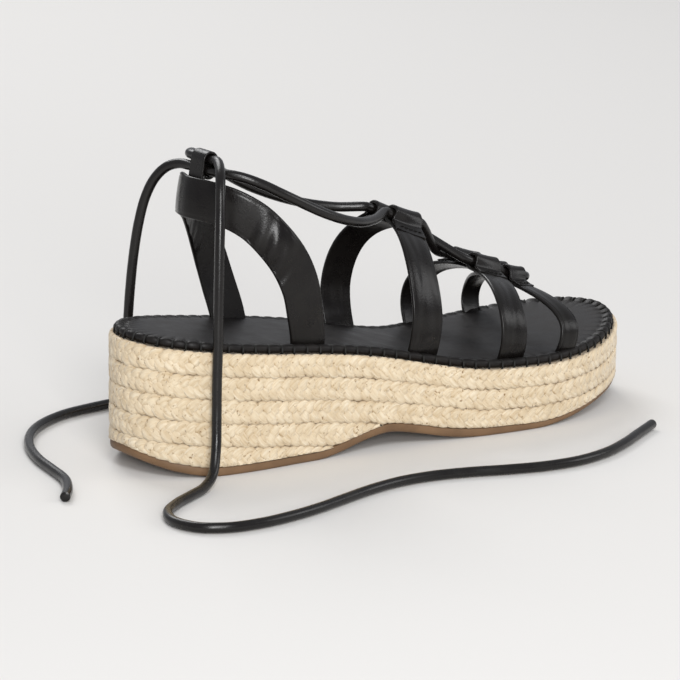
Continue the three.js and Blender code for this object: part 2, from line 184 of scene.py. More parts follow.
# %% [markdown]
# ## Camera
# The camera stands low and behind the little toe's side, as a customer sees a sandal that is
# worn on a step: 1.7 m away with a long lens, so that the sole keeps its true proportions. Its
# place is fixed in the frame, and its aim and lens are worked out, so that the sandal and its
# loose ties fill the picture. A camera could also be parented or tracked to a target, but a
# plain matrix keeps the slight roll of a hand-held view.

# %% What the camera sees
CAMERA_PLACE = Vector((-0.959, -1.303, 0.4518))
CAMERA_ROLL = math.radians(0.86)
FILL = 0.93
SENSOR = 36.0

seen = [Vector(v.co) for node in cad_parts.values() for v in node.data.vertices]


def camera_axes(target):
    """Right, up and forward of a camera that looks at a target, rolled a little."""
    forward = (target - CAMERA_PLACE).normalized()
    level = forward.cross(Vector((0, 0, 1))).normalized()
    up = level.cross(forward)
    right = level * math.cos(CAMERA_ROLL) + up * math.sin(CAMERA_ROLL)
    return right, right.cross(forward), forward


def spread_in_view(target):
    """Lowest and highest tangent of every frame point, sideways and upwards."""
    right, up, forward = camera_axes(target)
    across = [(p - CAMERA_PLACE).dot(right) / (p - CAMERA_PLACE).dot(forward) for p in seen]
    above = [(p - CAMERA_PLACE).dot(up) / (p - CAMERA_PLACE).dot(forward) for p in seen]
    return min(across), max(across), min(above), max(above)


# %% Camera
target = (cad_box[0] + cad_box[1]) / 2
for _ in range(3):
    left, most, low, high = spread_in_view(target)
    right, up, forward = camera_axes(target)
    reach = (target - CAMERA_PLACE).length
    target = target + right * (left + most) / 2 * reach + up * (low + high) / 2 * reach
left, most, low, high = spread_in_view(target)
right, up, forward = camera_axes(target)

camera = bpy.data.objects.new("camera", bpy.data.cameras.new("camera"))
bpy.context.scene.collection.objects.link(camera)
camera.data.sensor_width = SENSOR
camera.data.lens = SENSOR * FILL / max(most - left, high - low)
camera.data.clip_end = 20
camera.matrix_world = Matrix.Translation(CAMERA_PLACE) @ Matrix(
    (right, up, -forward)).transposed().to_4x4()
bpy.context.scene.camera = camera
print("lens", round(camera.data.lens, 1), "mm, looking at", tuple(round(v, 3) for v in target))

# %% [markdown]
# ## Skins over rings
# Laces, straps and jute strands are all swept: a small section is carried along a line, and a
# skin of quads joins one section to the next. Blender's curve bevel does that too, but it
# takes one round or flat section. Here the section may change from ring to ring, which gives
# creases, seams and cut ends. Each corner of a face also gets two distances in millimetres,
# along and around the piece, which the finishes use to run fibres along a strand.

# %% Skin
WELD = 1e-6


def cells_of(rows, columns):
    """Row number and column number of each cell of a grid."""
    return [a.ravel() for a in np.meshgrid(np.arange(rows), np.arange(columns), indexing="ij")]


class Skin:
    """Gathers rings, grids and tubes, and turns them into one mesh piece."""

    def __init__(self):
        self.points, self.faces, self.marks, self.painted_shades = [], [], [], []
        self.count = 0

    def take(self, points, faces, marks, painted_shades=None):
        self.points.append(points)
        self.faces.extend((np.asarray(faces) + self.count).tolist())
        self.marks.append(np.asarray(marks, float).reshape(-1, 2))
        # each point's painted shade and light, 1 where it is fully lit
        self.painted_shades.append(np.ones(len(points)) if painted_shades is None else painted_shades)
        self.count += len(points)

    def sweep(self, rings, run, around, closed=False, painted_shades=None):
        """Quads between neighbouring rings, each with its points anticlockwise about the way on."""
        n, k = rings.shape[:2]
        i, j = cells_of(n if closed else n - 1, k)
        beyond, beside = (i + 1) % n, (j + 1) % k
        quads = np.stack([i * k + j, i * k + beside, beyond * k + beside, beyond * k + j], 1)
        run = np.r_[run, run[-1] + run[1] - run[0]]
        u = np.stack([run[i], run[i], run[i + 1], run[i + 1]], 1)
        v = np.stack([around[j], around[j + 1], around[j + 1], around[j]], 1)
        self.take(rings.reshape(-1, 3), quads, np.stack([u, v], 2),
                  None if painted_shades is None else painted_shades.ravel())
        if not closed:
            base = self.count - n * k
            for ring, turn in ((0, -1), (n - 1, 1)):
                self.faces.append([base + ring * k + q for q in range(k)][::turn])
                self.marks.append(np.stack([np.full(k, run[ring]), around[:k]], 1)[::turn])

    def piece(self, name, finish, slot, stands_for=(), sharp=50, weld=False):
        """Makes the mesh, smooth but for edges sharper than so many degrees, and lets it ride.
        weld joins points that fall on each other, as on the middle line of a layer."""
        mesh = bpy.data.meshes.new(name)
        mesh.from_pydata(to_frame(np.vstack(self.points)).tolist(), [], self.faces)
        layer = mesh.uv_layers.new(name="runs")
        layer.data.foreach_set("uv", np.vstack(self.marks).astype(np.float32).ravel())
        # painted shade and light: each point's share of light, which the jute's finish paints into
        # its colour
        shade = mesh.attributes.new("painted_shade", "FLOAT", "POINT")
        shade.data.foreach_set("value", np.concatenate(self.painted_shades).astype(np.float32))
        if weld:
            edit = bmesh.new()
            edit.from_mesh(mesh)
            bmesh.ops.remove_doubles(edit, verts=edit.verts, dist=WELD)
            bmesh.ops.dissolve_degenerate(edit, edges=edit.edges, dist=WELD)
            edit.to_mesh(mesh)
            edit.free()
        mesh.shade_smooth()
        mesh.set_sharp_from_angle(angle=math.radians(sharp))
        made = bpy.data.objects.new(name, mesh)
        bpy.context.scene.collection.objects.link(made)
        mesh.materials.append(finish)
        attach(made, "root")
        if stands_for:
            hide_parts(*stands_for)
        triangles = sum(len(f) - 2 for f in self.faces)
        print(name, len(mesh.vertices), "points", triangles, "triangles")
        return made


# %% Round tube
CUT_END = 0.9


def level_frames(path):
    """The way on at each point, and two crosswise directions carried along with no twist."""
    way = way_on(path)
    side = np.zeros_like(path)
    start = np.cross(way[0], (0, 0, 1) if abs(way[0][2]) < 0.9 else (1, 0, 0))
    side[0] = unit(start)
    for i in range(1, len(path)):
        side[i] = unit(side[i - 1] - way[i] * (side[i - 1] @ way[i]))
    return way, side, np.cross(way, side)


def add_tube(skin, path, radius, sides, cut=0.0):
    """A round bar along a path. radius is a number, or an array with a row for each point, and
    cut is how far each end's slightly smaller last ring stands out."""
    way, side, up = level_frames(path)
    turn = np.arange(sides) * 2 * math.pi / sides
    size = np.broadcast_to(radius, (len(path), sides)) if np.ndim(radius) < 2 else radius
    rings = (path[:, None] + size[..., None] * (np.cos(turn)[None, :, None] * side[:, None]
                                                + np.sin(turn)[None, :, None] * up[:, None]))
    if cut:
        first = path[0] + (rings[0] - path[0]) * CUT_END - way[0] * cut
        end = path[-1] + (rings[-1] - path[-1]) * CUT_END + way[-1] * cut
        rings = np.concatenate([first[None], rings, end[None]])
        path = np.vstack([path[0] - way[0] * cut, path, path[-1] + way[-1] * cut])
    around = np.arange(sides + 1) * 2 * math.pi / sides * float(np.mean(size))
    skin.sweep(rings, run_of(path), around)


# %% [markdown]
# ## Finishes
# A finish is a small network of nodes. `Finish` keeps it short to write: `add` makes a node
# and sets its sockets, `wire` joins two sockets, and `texture` lays a pattern out in the
# object's own metres. Leather is a dark base with a pebble grain
# in the bump, jute is long noise streaks that run along each strand, and rubber is a fine
# even grain. All of it is procedural, so it holds up however close the camera comes. Values
# that are the same all over stay on the shader's own sockets.

# %% Finish helper


class Finish:
    """A material whose plain values are set on its shader, and whose patterns are nodes."""

    def __init__(self, name, **sockets):
        self.material = bpy.data.materials.new(name)
        self.material.use_nodes = True
        self.tree = self.material.node_tree
        self.shader = self.tree.nodes["Principled BSDF"]
        for key, value in sockets.items():
            self.shader.inputs[key.replace("_", " ")].default_value = value

    def add(self, kind, settings=None, **sockets):
        made = self.tree.nodes.new("ShaderNode" + kind)
        for key, value in (settings or {}).items():
            setattr(made, key, value)
        for key, value in sockets.items():
            made.inputs[key.replace("_", " ")].default_value = value
        return made

    def wire(self, source, target):
        self.tree.links.new(source, target)

    def texture(self, kind, settings=None, place=None, **sockets):
        """A pattern's node, in the object's own metres or in a layout that is given."""
        made = self.add("Tex" + kind, settings, **sockets)
        if place is None:
            place = self.add("TexCoord").outputs["Object"]
        self.wire(place, made.inputs["Vector"])
        return made.outputs

    def ramp(self, source, stops):
        made = self.add("ValToRGB")
        elements = made.color_ramp.elements
        while len(elements) < len(stops):
            elements.new(0.5)
        for element, (place, tone) in zip(elements, stops):
            element.position = place
            element.color = (*tone, 1)
        self.wire(source, made.inputs["Fac"])
        return made.outputs["Color"]

    def ranged(self, source, low, high, to_low, to_high):
        made = self.add("MapRange", From_Min=low, From_Max=high, To_Min=to_low, To_Max=to_high)
        self.wire(source, made.inputs["Value"])
        return made.outputs["Result"]

    def bump(self, source, height, under=None):
        """A bump of so many metres, on top of another bump."""
        made = self.add("Bump", Strength=1.0, Distance=height)
        self.wire(source, made.inputs["Height"])
        if under is not None:
            self.wire(under, made.inputs["Normal"])
        return made.outputs["Normal"]


# %% Leather finish


def leather(name, dark, light, roughness, shine, grain_size=0.0007, grain_height=0.00004):
    """Leather between two tones, with its grain's size and height in metres."""
    finish = Finish(name, Specular_IOR_Level=shine)
    cells = finish.texture("Voronoi", {"feature": "SMOOTH_F1"}, Scale=1 / grain_size)
    pores = finish.texture("Noise", Scale=2.5 / grain_size, Detail=3.0)
    cloud = finish.texture("Noise", Scale=90.0, Detail=4.0, Roughness=0.6)
    shade = finish.ramp(cloud["Fac"], [(0.3, dark), (0.72, light)])
    finish.wire(shade, finish.shader.inputs["Base Color"])
    gloss = finish.ranged(cloud["Fac"], 0.3, 0.7, roughness - 0.05, roughness + 0.07)
    finish.wire(gloss, finish.shader.inputs["Roughness"])
    grain = finish.bump(cells["Distance"], grain_height)
    finish.wire(finish.bump(pores["Fac"], grain_height / 2, grain), finish.shader.inputs["Normal"])
    print(name, "grain", round(grain_size / MM, 2), "mm")
    return finish.material


BLACK, WORN_BLACK = (0.004, 0.003, 0.003), (0.008, 0.007, 0.006)
strap_leather = leather("strap_leather", BLACK, WORN_BLACK, 0.27, 0.28)
cord_leather = leather("cord_leather", BLACK, WORN_BLACK, 0.26, 0.38, 0.0005, 0.00002)
footbed_leather = leather("footbed_leather", (0.006, 0.005, 0.005), (0.011, 0.009, 0.008), 0.46, 0.22)
thread = leather("black_thread", (0.005, 0.005, 0.004), (0.010, 0.009, 0.008), 0.6, 0.3, 0.0003)

# %% [markdown]
# ## The lace's free ends
# The lace is one round cord, so its free ends are cords too: limp, 4.3 mm thick, and
# cut square. When they are not tied round the ankle they drop from the heel loop, down both
# sides of the heel, and wander over the floor. They come first, because a free cord has to
# fit the frame and the view, and that is cheap to learn now. Each is a tube along the same
# points as the frame's own solid. A cloth or rope simulation would lay it down too, but it
# would not end in the same place each time. A real cord of this kind is wrapped leather, so
# one side has a fine butt seam, made here as a shallow groove in the radius.

# %% Cord
LACE_DIAMETER = 4.3
LACE_SIDES = 20
LACE_STEP = 1.6
LACE_CUT = 0.12
SEAM_DEPTH = 0.16
LACE_LIES = 2.4


def on_floor(*places):
    """Points of a cord that lies on the floor."""
    return [(x, y, LACE_LIES) for x, y in places]


TIE_LATERAL = [
    (42.36, -2.5, 129.77), (42.3, -6.3, 129.95), (41.6, -10.5, 130.3), (39.2, -16, 129.2),
    (36, -21.5, 126.2), (33, -26, 120), (30.8, -29.3, 110.5), (29.2, -31.4, 98),
    (28, -32.9, 84), (27.1, -34, 70), (26.4, -34.8, 56), (25.6, -35.5, 42), (24.8, -36.6, 28),
    (23, -39, 15), (18.6, -43.4, 6), (11, -48.5, 2.8)] + on_floor(
    (1, -54), (-10.5, -60.5), (-20.5, -69), (-25, -80.5), (-21.5, -92.5), (-11, -99.5),
    (2.5, -101.5), (17, -100.5), (33, -97.5), (50, -92.5), (67, -87.5), (84, -84.5), (101, -85),
    (118, -89), (135, -95), (152, -99.5), (169, -100.5), (186, -97), (202, -90), (217, -81.5),
    (232, -73))
TIE_MEDIAL = [
    (41.64, 2.5, 125.23), (41.64, 5.85, 125.23), (41.3, 10.5, 125.2), (39.9, 15.5, 125.2),
    (37, 20.6, 123.2), (33.9, 25, 118), (31.4, 28.6, 109.5), (29.5, 31, 98), (28.1, 32.8, 84),
    (27.2, 34, 70), (26.6, 34.8, 56), (26.4, 35.4, 42), (26.8, 36.6, 28), (28.6, 39.2, 15),
    (34, 43.4, 6), (43, 47.2, 2.8)] + on_floor(
    (54.5, 50.5), (69, 53), (84, 54.5), (99, 56.5), (113, 60.5), (122.5, 68.5), (123, 79.5),
    (115, 87.5), (102, 91), (86, 91), (70, 88.5), (54, 85.5), (38, 83.5), (22.5, 80.5),
    (8.5, 74), (-3, 65), (-12.5, 53), (-19.5, 39.5), (-24.5, 24.5), (-27.5, 9), (-31, -7),
    (-38.5, -21), (-44, -28))


# %% Cord of wrapped leather
def cord_radius(path, seed):
    """Radius at each point and side: nearly even, with the wrapped leather's seam."""
    chance = np.random.default_rng(seed)
    run = run_of(path)
    wave = sum(chance.uniform(0.2, 0.5) * np.sin(2 * math.pi * run / chance.uniform(9, 34)
                                                 + chance.uniform(0, 6)) for _ in range(4))
    turn = np.arange(LACE_SIDES) / LACE_SIDES
    seam = bump_at(turn, 0.5, 0.03) * SEAM_DEPTH
    return LACE_DIAMETER / 2 * (1 + 0.006 * wave[:, None]) - seam[None, :]


def add_cord(skin, route, seed):
    """A cord along listed points. It gives back the line that it follows."""
    dense = curve_through(route)[0]
    path, = evenly(dense, int(run_of(dense)[-1] / LACE_STEP))
    add_tube(skin, path, cord_radius(path, seed), LACE_SIDES, cut=LACE_CUT)
    return path


# %% Tie ends
for name, route, seed in (("tie_end_lateral", TIE_LATERAL, 3), ("tie_end_medial", TIE_MEDIAL, 5)):
    skin = Skin()
    line = add_cord(skin, route, seed)
    tie = skin.piece(name + "_cord", cord_leather, "lace_cord", [name])
    print(name, "length", round(run_of(line)[-1]), "mm")

# %% [markdown]
# ## The sole's form
# Everything in the sole follows one plan outline and two height curves: the top of the jute
# block, and the walking surface with its heel flat, arch and toe spring. These tables are the
# frame's own. The outline is sampled in two halves that match point for point, lateral and
# medial, so that a sheet across the sole can close on a spine down the middle. A slab cut out
# with a boolean is quicker to write, but its long thin triangles shade badly.

# %% Sole tables
GAP = 0.3
OUTLINE = [
    (0.0, 0, 0), (0.012, 13, 13), (0.05, 25, 25), (0.1, 31.2, 31), (0.17, 34, 34),
    (0.27, 34.5, 34), (0.38, 35, 32.5), (0.48, 37.3, 31.8), (0.58, 41.5, 35.2),
    (0.67, 44.7, 41), (0.74, 45.6, 44.4), (0.81, 43.4, 45.6), (0.87, 38, 43),
    (0.92, 30.1, 37), (0.96, 20.2, 28.6), (0.985, 10.4, 19.3)]
TOE_TIP = (1.0, 4.5)
TOP = [(0.0, 57.4), (0.1, 54), (0.2, 50.2), (0.31, 46.3), (0.42, 41.3), (0.51, 35.6),
       (0.6, 30.6), (0.68, 28.9), (0.76, 28.5), (0.85, 29.7), (0.93, 32.4), (1.0, 35.6)]
BOTTOM = [(0.0, 8.3), (0.025, 5.2), (0.05, 2.9), (0.09, 0.7), (0.13, 0), (0.3, 0),
          (0.345, 1.9), (0.385, 4.9), (0.418, 6.8), (0.445, 7.2), (0.5, 4.5), (0.54, 2.1),
          (0.58, 0.6), (0.62, 0), (0.72, 0), (0.76, 0.9), (0.8, 2.5), (0.85, 5), (0.9, 7.2),
          (0.95, 9), (1.0, 11)]
OUTSOLE_THICK = [(0.0, 4), (0.58, 4), (0.62, 3.8), (0.72, 3.1), (0.76, 2.8), (0.8, 2.5),
                 (0.85, 2.3), (0.9, 2.2), (0.95, 2.1), (1.0, 2)]


def block_top(x):
    return along(TOP, x / LENGTH)


def walk_surface(x):
    return np.maximum(0, along(BOTTOM, x / LENGTH))


def outsole_top(x):
    return walk_surface(x) + along(OUTSOLE_THICK, x / LENGTH)


# %% Outline
lateral = [(at * LENGTH, -low, 0) for at, low, high in OUTLINE]
medial = [(at * LENGTH, high, 0) for at, low, high in OUTLINE[:0:-1]]
tip = (TOE_TIP[0] * LENGTH, TOE_TIP[1], 0)
dense, rows = curve_through(lateral + [tip] + medial, closed=True)
half_way = int(np.searchsorted(rows, len(OUTLINE)))


def outline(inset, count, matched=True):
    """Closed plan outline drawn in by an inset, and the directions that point inwards.
    A matched one has as many points on the lateral side as on the medial side."""
    if matched:
        there, = evenly(dense[:half_way + 1], count // 2 + 1)
        back, = evenly(dense[half_way:], count // 2 + 1)
        line = np.vstack([there, back[1:-1]])
    else:
        line = evenly(dense, count + 1)[0][:-1]
    inward = np.cross((0, 0, 1), way_on(line, closed=True))
    return line + inward * inset, inward


perimeter = run_of(dense)[-1]
print("outline", round(perimeter), "mm round,", round(np.ptp(dense[:, 1]), 1), "mm wide")

# %% Sheet across the sole
SPINE = (30, 38)


def spine_of(line):
    """For each point of a matched outline, the point of the middle line that it closes on."""
    count = len(line)
    partner = line[(count - np.arange(count)) % count]
    share = (line[:, 0] + partner[:, 0]) / 2 / LENGTH
    x = SPINE[0] + share * (LENGTH - sum(SPINE))
    places = [(row[0] * LENGTH, (row[2] - row[1]) / 2) for row in OUTLINE]
    return np.stack([x, along(places, x), np.zeros(count)], 1)


def add_layer(skin, count, profile, low, high, detail=None, fills=(0.2, 0.45, 0.75, 1.0)):
    """A closed layer of the sole. profile is a row for each ring round its edge, from the
    bottom up: how far in it lies, and its height from the low surface (0) to the high one (1).
    detail may move the rings, and fills are the shares of the way from the edge to the spine."""
    rings = []
    for inset, share in profile:
        ring = outline(inset, count)[0]
        x = ring[:, 0]
        ring[:, 2] = low(x) + share * (high(x) - low(x))
        rings.append(ring)
    rings = np.array(rings)
    if detail is not None:
        rings = detail(rings)
    for at, surface in ((0, low), (-1, high)):
        edge = rings[at]
        spare = edge[:, 2] - surface(edge[:, 0])
        inner = []
        for fill in fills:
            ring = edge + (spine_of(edge) - edge) * fill
            ring[:, 2] = surface(ring[:, 0]) + spare * (1 - fill)
            inner.append(ring)
        rings = np.concatenate([inner[::-1], rings] if at == 0 else [rings, inner])
    n, k = rings.shape[:2]
    i, j = cells_of(n - 1, k)
    beside = (j + 1) % k
    quads = np.stack([i * k + beside, (i + 1) * k + beside, (i + 1) * k + j, i * k + j], 1)
    points = rings.reshape(-1, 3)
    skin.take(points, quads, points[quads][..., :2])


# %% [markdown]
# ## Outsole
# The outsole is a thin sheet of moulded tan rubber, glued under the block and trimmed flush.
# Its edge is what shows: 4 mm tall, thinner at the toe, with a slightly rounded arris where it
# was buffed. The layer's edge profile gives that rounding, and a shallow groove round the
# underside, which keeps the flats that it stands on. A bevel on a plain slab would round the
# edge too, but it could not follow the slow change in thickness. The rubber has a fine even
# grain and faint darker clouds.

# %% Rubber
TAN_DARK, TAN_LIGHT = (0.125, 0.068, 0.031), (0.195, 0.111, 0.053)
rubber = Finish("outsole_rubber", IOR=1.5)
cloud = rubber.texture("Noise", Scale=45.0, Detail=5.0, Roughness=0.6)
grain = rubber.texture("Noise", Scale=1800.0, Detail=3.0)
tone = rubber.ramp(cloud["Fac"], [(0.3, TAN_DARK), (0.7, TAN_LIGHT)])
rubber.wire(tone, rubber.shader.inputs["Base Color"])
rubber.wire(rubber.ranged(cloud["Fac"], 0.3, 0.7, 0.52, 0.66), rubber.shader.inputs["Roughness"])
rubber.wire(rubber.bump(grain["Fac"], 0.00005), rubber.shader.inputs["Normal"])

# %% Outsole piece
OUTSOLE_EDGE = [(6.8, 0), (6.3, 0), (6.0, 0.12), (5.5, 0.12), (5.2, 0), (2.6, 0), (1.5, 0),
                (1.0, 0.06), (0.65, 0.22), (0.5, 0.45), (0.5, 0.75), (0.7, 0.93), (1.2, 1.0),
                (3, 1.0)]
skin = Skin()
add_layer(skin, 240, OUTSOLE_EDGE, walk_surface, outsole_top)
skin.piece("outsole_sheet", rubber.material, "outsole_rubber", ["outsole"], sharp=40, weld=True)

# %% [markdown]
# ## Jute plait
# The block is wrapped in rows of flat three-strand plait, laid from the footbed's edge
# downwards and cut off by the outsole where the arch rises. A plain block with a bump map
# would look right from afar and flat at the outline. Here each strand is really swept: it
# swings up and down across its row, and it is on top on its way out to the edge and beneath
# on its way back, which is how three strands plait. Each strand is an oval tube, and the
# fibres are the finish's work. A core with painted shade fills the small gaps, and each point
# carries painted shade and light: the strands darken where they cross and dive and at their
# edges, and lighten on their outer face.

# %% Jute finish
FIBRE_HEIGHT = 0.00035
jute = Finish("jute_braid", Roughness=0.85, IOR=1.4, Sheen_Weight=0.25, Sheen_Roughness=0.5)
fibre_run = jute.add("UVMap", {"uv_map": "runs"}).outputs["UV"]
stretch = jute.add("Mapping")
stretch.inputs["Scale"].default_value = (0.13, 1.8, 1)
jute.wire(fibre_run, stretch.inputs["Vector"])
fibres = jute.texture("Noise", None, stretch.outputs["Vector"],
                      Scale=1.0, Detail=5.0, Roughness=0.65, Distortion=0.3)
slub = jute.texture("Noise", Scale=160.0, Detail=3.0)
speck = jute.texture("Noise", Scale=700.0, Detail=2.0)
strand_tone = jute.ramp(fibres["Fac"], [
    (0.25, (0.40, 0.29, 0.16)), (0.37, (0.63, 0.505, 0.34)), (0.52, (0.71, 0.60, 0.435)),
    (0.68, (0.79, 0.70, 0.55))])
slub_tone = jute.ramp(slub["Fac"], [(0.3, (0.84, 0.80, 0.74)), (0.7, (1, 1, 1))])
speck_tone = jute.ramp(speck["Fac"], [(0.25, (0.38, 0.28, 0.18)), (0.36, (1, 1, 1))])
# painted shade: the jute's colour is darkened by each point's painted shade, where strands cross and
# dive, at their edges and on the core
shade_share = jute.add("Attribute", {"attribute_name": "painted_shade"}).outputs["Fac"]
painted_shade_tone = jute.ramp(shade_share, [(0.0, (0.55, 0.45, 0.33)), (0.5, (0.95, 0.93, 0.90)),
                                 (1.0, (1, 1, 1))])
tone = strand_tone
for layer in (slub_tone, speck_tone, painted_shade_tone):
    mix = jute.add("Mix", {"data_type": "RGBA", "blend_type": "MULTIPLY"})
    mix.inputs["Factor"].default_value = 1.0
    jute.wire(tone, mix.inputs[6])
    jute.wire(layer, mix.inputs[7])
    tone = mix.outputs[2]
jute.wire(tone, jute.shader.inputs["Base Color"])
jute.wire(jute.bump(fibres["Fac"], FIBRE_HEIGHT), jute.shader.inputs["Normal"])
print("jute", len(jute.tree.nodes), "nodes")

# %% Plait sizes
ROW_HEIGHTS = [(0.0, 10.2), (0.4, 9.9), (0.6, 9.1), (1.0, 9.1)]
ROWS = 5
ROW_SHIFT = 0.37  # of a swing, from one row to the next
KEPT_SHARE = 0.42  # of a row's height that has to clear the outsole
PLAIT_PITCH = 13.0
PLAIT_INSET = 1.1
PLAIT_RISE = 0.1
PLAIT_CLEAR = 0.2
SWING_SHARE = 0.275  # of a row's height, each way from its middle
WIDTH_SHARE = 0.54  # of a row's height, for one strand
DIVE = 0.32
STRAND_THICK = 1.8
STRAND_ROUND = 11  # mm round a strand, for its fibres
STRAND_STEP = 1.0
STRAND_SIDES = 10
STRAND_BOXY = 0.6
FIBRE_SHIFT = 20  # mm between the fibres of one strand and the next
UNEVEN_PITCH, UNEVEN_SWING, UNEVEN_WIDTH = 0.12, 0.05, 0.07
EDGE_SHADE, FACE_LIGHT = 0.35, 0.25
CROSSING_WIDTH, CROSSING_SHADE = 0.13, 0.8


# %% Plait helpers
def smooth_chance(chance, count, reach):
    """Random values that wander smoothly, about -1 to 1."""
    raw = chance.normal(size=count)
    window = np.hanning(reach)
    return np.convolve(np.r_[raw[-reach:], raw, raw[:reach]], window / np.sqrt((window**2).sum()),
                       "same")[reach:-reach]


def whole_runs(kept):
    """Row numbers of each unbroken stretch of a closed line."""
    count = len(kept)
    if kept.all():
        return [np.arange(count)]
    starts = np.flatnonzero(kept & ~np.roll(kept, 1))
    lengths = [int(np.argmin(np.roll(kept, -start))) for start in starts]
    return [(start + np.arange(size)) % count for start, size in zip(starts, lengths) if size > 8]


def boxy(value):
    """A sine or cosine that stays longer near its ends, for a flattened oval."""
    return np.sign(value) * np.abs(value) ** STRAND_BOXY


# %% Strand
def strand_rings(row, strand, line, inward, middle, tall):
    """Rings of one of a row's three strands, and each point's painted shade: how much light would
    reach it.
    """
    chance = np.random.default_rng(row * 3 + strand)
    count = len(line)
    swings = round(perimeter / PLAIT_PITCH)
    phase = 2 * math.pi * (swings * np.arange(count) / count + strand / 3 + row * ROW_SHIFT)
    phase = phase + UNEVEN_PITCH * smooth_chance(chance, count, 25)
    rise = SWING_SHARE * tall * np.sin(phase) * (1 + UNEVEN_SWING * smooth_chance(chance, count, 9))
    front = DIVE * np.sin(2 * phase)
    path = line - inward * front[:, None]
    path[:, 2] = middle + rise
    way = way_on(path, closed=True)
    out = square_to(way, -inward)
    beside = np.cross(out, way)
    turn = np.arange(STRAND_SIDES) * 2 * math.pi / STRAND_SIDES
    swell = 1 + UNEVEN_WIDTH * smooth_chance(chance, count, 7)
    a = (WIDTH_SHARE * tall / 2 * swell)[:, None] * boxy(np.cos(turn))
    b = (STRAND_THICK / 2 * swell)[:, None] * boxy(np.sin(turn))
    rings = path[:, None] + a[..., None] * beside[:, None] + b[..., None] * out[:, None]
    # painted shade and light: darker where the strand dives behind the others, at its edges and where
    # strands cross, lighter on its outer face
    showing = 0.5 + 0.5 * front[:, None] / DIVE
    crossing = bump_at(np.sin(phase / 2), 0, CROSSING_WIDTH)[:, None]
    edge = 1 - EDGE_SHADE * np.abs(np.cos(turn))[None] ** 3
    light = showing * edge + FACE_LIGHT * np.maximum(np.sin(turn), 0)[None]
    return rings, np.clip(light - CROSSING_SHADE * crossing, 0, 1)


# %% Rows of plait
def plait_row(row):
    """One row of plait, as a skin of three strands. Rows are counted from the top down."""
    count = int(perimeter / STRAND_STEP)
    line, inward = outline(PLAIT_INSET, count, matched=False)
    x = line[:, 0]
    tall = along(ROW_HEIGHTS, x / LENGTH)
    middle = block_top(x) - (row + 0.5) * tall + PLAIT_RISE
    floor_line = outsole_top(x) + PLAIT_CLEAR
    stretches = whole_runs(middle + tall * KEPT_SHARE > floor_line)
    skin = Skin()
    for strand in range(3):
        rings, painted_shades = strand_rings(row, strand, line, inward, middle, tall)
        rings[..., 2] = np.maximum(rings[..., 2], floor_line[:, None])
        rings[..., 2] = np.minimum(rings[..., 2], block_top(rings[..., 0]) + PLAIT_CLEAR)
        around = np.arange(STRAND_SIDES + 1) / STRAND_SIDES * STRAND_ROUND + FIBRE_SHIFT * strand
        for order in stretches:
            skin.sweep(rings[order], np.arange(len(order)) * STRAND_STEP, around,
                       closed=len(order) == count, painted_shades=painted_shades[order])
    return skin


for row in range(ROWS):
    plait_row(row).piece(f"jute_row_{row + 1}", jute.material, "jute_braid", sharp=80)

# %% Jute core
CORE_LIGHT = 0.25
CORE_EDGE = [(4, 0), (2.0, 0.0), (1.6, 0.04), (1.5, 0.5), (1.6, 0.93), (2.1, 0.99), (5, 0.99)]
skin = Skin()
add_layer(skin, 200, CORE_EDGE, lambda x: outsole_top(x) + GAP, block_top)
# painted shade: the whole core is darkened, as if little light reached the gaps between the strands
skin.painted_shades = [np.full(len(d), CORE_LIGHT) for d in skin.painted_shades]
skin.piece("jute_core", jute.material, "jute_braid", ["jute_platform"], weld=True)

# %% [markdown]
# ## Footbed
# The footbed is a black leather sock over a thin foam board. Its rim is whipped to the jute
# with black thread: a stitch every 6.5 mm pulls the edge in, so the rim is a row of small
# cushions, and the pull shows as short gathers further in, most of all round heel and toe.
# The gathers are modelled as soft troughs in the rings of the layer, since a bump could not
# scallop the outline.

# %% Footbed tables
FOOTBED_THICK = 3.2
FOOTBED_INSET = 2.8
STITCH_PITCH = 6.5
STITCHES = round(perimeter / STITCH_PITCH)
FOOTBED_EDGE = [  # how far in, share of the height, and how much a stitch pulls there
    (1.4, 0.0, 0), (0.3, 0.03, 0.3), (-0.25, 0.2, 0.75), (-0.5, 0.45, 1), (-0.45, 0.72, 1),
    (-0.1, 0.93, 1), (0.5, 1.06, 1), (1.2, 1.12, 1), (2.0, 1.1, 1), (2.8, 1.02, 0.95),
    (3.6, 0.94, 0.8), (4.4, 0.95, 0.55), (5.4, 0.99, 0.35), (7.0, 1.0, 0.2), (9.0, 1.0, 0.08),
    (12.0, 1.0, 0)]
STITCH_REACH = 0.16  # of the pitch
PULL_IN, PUSH_OUT = 0.5, 0.2
DIP, CUSHION = 0.6, 0.22
CALM_DIP = 0.55  # of the dip, along the sides
ENDS = (0.12, 0.8, 0.08)


def footbed_low(x):
    return block_top(x) + GAP


def footbed_top(x):
    return footbed_low(x) + FOOTBED_THICK


def gathered(rings):
    """Draws the rim in at each stitch, and raises it a little between two."""
    count = rings.shape[1]
    phase = np.arange(count) / count * STITCHES
    near = bump_at((phase + 0.5) % 1, 0.5, STITCH_REACH)
    between = 0.5 - 0.5 * np.cos(2 * math.pi * phase)
    inward = outline(0, count)[1]
    x = rings[0, :, 0] / LENGTH
    heel_end, toe_start, fade = ENDS
    at_ends = np.clip(np.maximum(heel_end - x, x - toe_start) / fade, 0, 1)
    strength = CALM_DIP + (1 - CALM_DIP) * at_ends
    for ring, (_, height, pull) in zip(rings, FOOTBED_EDGE):
        side = min(1, max(0, 1 - height) * 1.6)
        ring += inward * (pull * side * (PULL_IN * near - PUSH_OUT * between))[:, None]
        if height > 0.5:
            ring[:, 2] += pull * (CUSHION * between - DIP * near) * strength
    return rings


# %% Footbed piece
skin = Skin()
profile = [(FOOTBED_INSET + inset, share) for inset, share, pull in FOOTBED_EDGE]
add_layer(skin, 1000, profile, footbed_low, footbed_top, gathered, (0.12, 0.3, 0.5, 0.7, 0.86, 1.0))
skin.piece("footbed_sock", footbed_leather, "footbed_leather", ["footbed"], sharp=70, weld=True)

